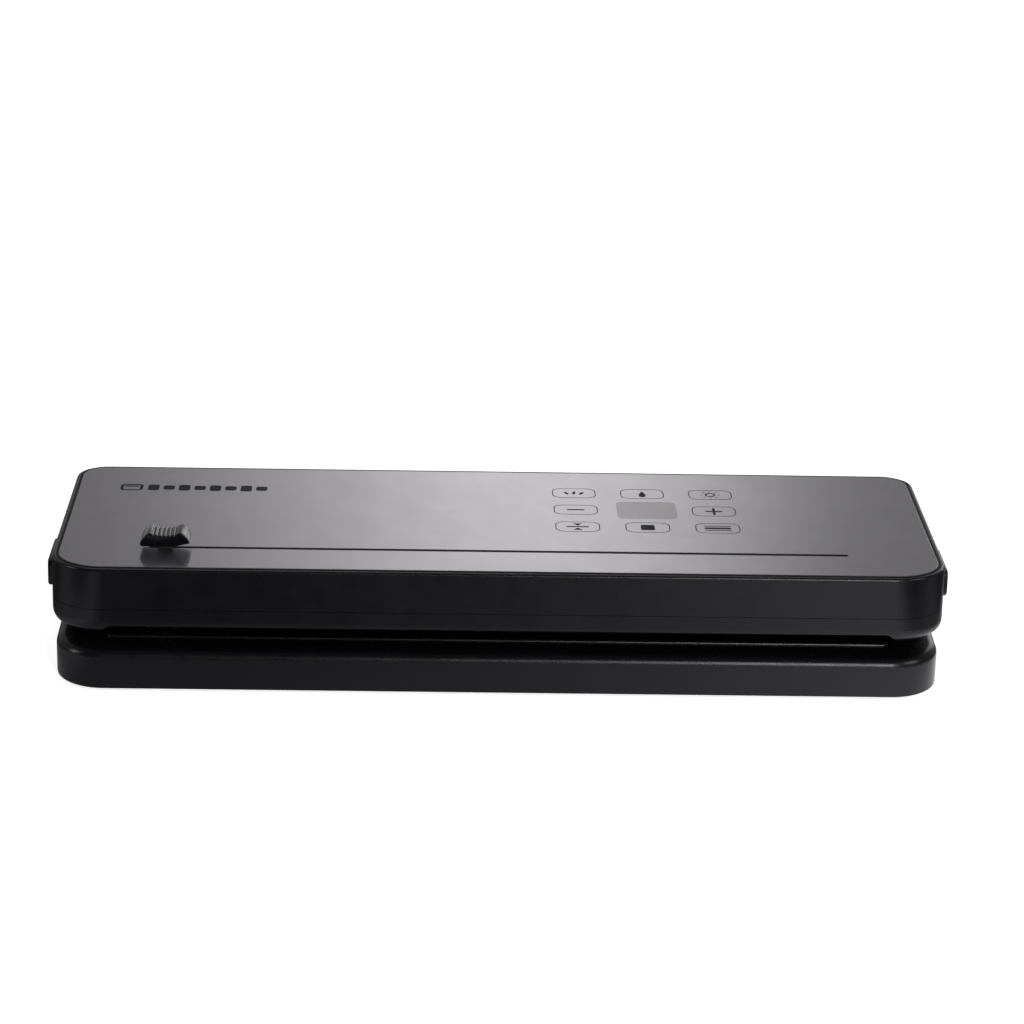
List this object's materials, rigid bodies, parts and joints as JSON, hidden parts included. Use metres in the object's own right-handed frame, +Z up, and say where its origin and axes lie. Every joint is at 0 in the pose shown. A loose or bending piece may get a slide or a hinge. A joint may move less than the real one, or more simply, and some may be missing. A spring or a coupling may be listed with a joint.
{
  "type": "vacuum sealer",
  "caption": "Countertop bag vacuum sealer with a hinged lid, glass touch panel, sliding film cutter, side release buttons, heat-sealing bar and pump.",
  "frame": {"origin": "under the middle of the body's outline, on the surface that its feet stand on", "axes": "+Z up, +X to the user's right, +Y to the back, so the bag goes in from -Y"},
  "size_m": [0.395, 0.15, 0.0644],
  "materials": {
    "body_black": "satin moulded",
    "panel_glass": "mirror-grey, back-printed, opaque",
    "window_grey": "smoked, glossy",
    "rubber_black": "matt",
    "gasket_foam": "closed-cell foam",
    "silicone_red": "matt silicone",
    "steel_bare": "plain",
    "spring_steel": "drawn wire",
    "aluminium_bar": "extruded",
    "heater_alloy": "rolled ribbon",
    "tape_brown": "coated glass cloth",
    "board_green": "solder mask",
    "part_dark": "moulded",
    "hose_clear": "translucent silicone",
    "lead_cover": "insulated",
    "magnet_grey": "nickel-plated"
  },
  "bodies": {
    "base": {"base_shell": "body_black", "base_bottom_plate": "body_black", "rubber_feet": "rubber_black", "base_screws": "steel_bare", "lower_gasket": "gasket_foam", "silicone_seal_strip": "silicone_red", "cutting_track": "part_dark", "lid_magnet": "magnet_grey", "hinge_pins": "steel_bare", "hinge_springs": "spring_steel"},
    "lid": {"lid_bottom_shell": "body_black", "lid_top_shell": "body_black", "top_panel": "panel_glass", "display_window": "window_grey", "display_module": "part_dark", "control_board": "board_green", "control_parts": "part_dark", "touch_springs": "spring_steel", "power_board": "board_green", "power_parts": "part_dark", "upper_gasket": "gasket_foam", "heater_bar": "aluminium_bar", "heater_ribbon": "heater_alloy", "heater_tape": "tape_brown", "pump_motor": "steel_bare", "pump_head": "part_dark", "valve_body": "part_dark", "vacuum_hose": "hose_clear", "vent_hose": "hose_clear", "pressure_switch": "part_dark", "lid_sensor": "board_green", "power_inlet": "part_dark", "inlet_pins": "steel_bare", "mains_leads": "lead_cover", "heater_leads": "silicone_red", "ribbon_cable": "hose_clear", "lid_screws": "steel_bare", "left_latch_spring": "spring_steel", "right_latch_spring": "spring_steel"},
    "pump_rotor": {"pump_shaft": "steel_bare", "pump_eccentric": "steel_bare"},
    "valve_slider": {"valve_plunger": "steel_bare"},
    "cutter": {"cutter_knob": "body_black", "cutter_carriage": "part_dark", "cutter_blade": "steel_bare", "cutter_screw": "steel_bare"},
    "left_latch": {"left_release_button": "body_black", "left_latch_hook": "body_black"},
    "right_latch": {"right_release_button": "body_black", "right_latch_hook": "body_black"}
  },
  "joints": [
    {"name": "lid_hinge", "type": "hinge", "parent": "base", "child": "lid", "pos_m": [0, 0.06693, 0.021], "axis": [-1, 0, 0], "range_deg": [-3, 57], "stiffness_Nm_per_rad": 0.5, "springref_deg": 71.62, "deforming": ["lower_gasket"]},
    {"name": "cutter_slide", "type": "slide", "parent": "lid", "child": "cutter", "axis": [1, 0, 0], "range_m": [-0.003, 0.295]},
    {"name": "left_release", "type": "slide", "parent": "lid", "child": "left_latch", "axis": [1, 0, 0], "range_m": [0, 0.0022], "stiffness_N_per_m": 600, "springref_m": -0.002, "deforming": ["left_latch_spring"]},
    {"name": "right_release", "type": "slide", "parent": "lid", "child": "right_latch", "axis": [-1, 0, 0], "range_m": [0, 0.0022], "stiffness_N_per_m": 600, "springref_m": -0.002, "deforming": ["right_latch_spring"]},
    {"name": "pump_shaft_spin", "type": "hinge", "parent": "lid", "child": "pump_rotor", "pos_m": [-0.15, 0.01836, 0.03716], "axis": [1, 0, 0], "continuous": true},
    {"name": "valve_plunger_slide", "type": "slide", "parent": "lid", "child": "valve_slider", "axis": [0, 0.0523, 0.9986], "range_m": [0, 0.0015]}
  ]
}
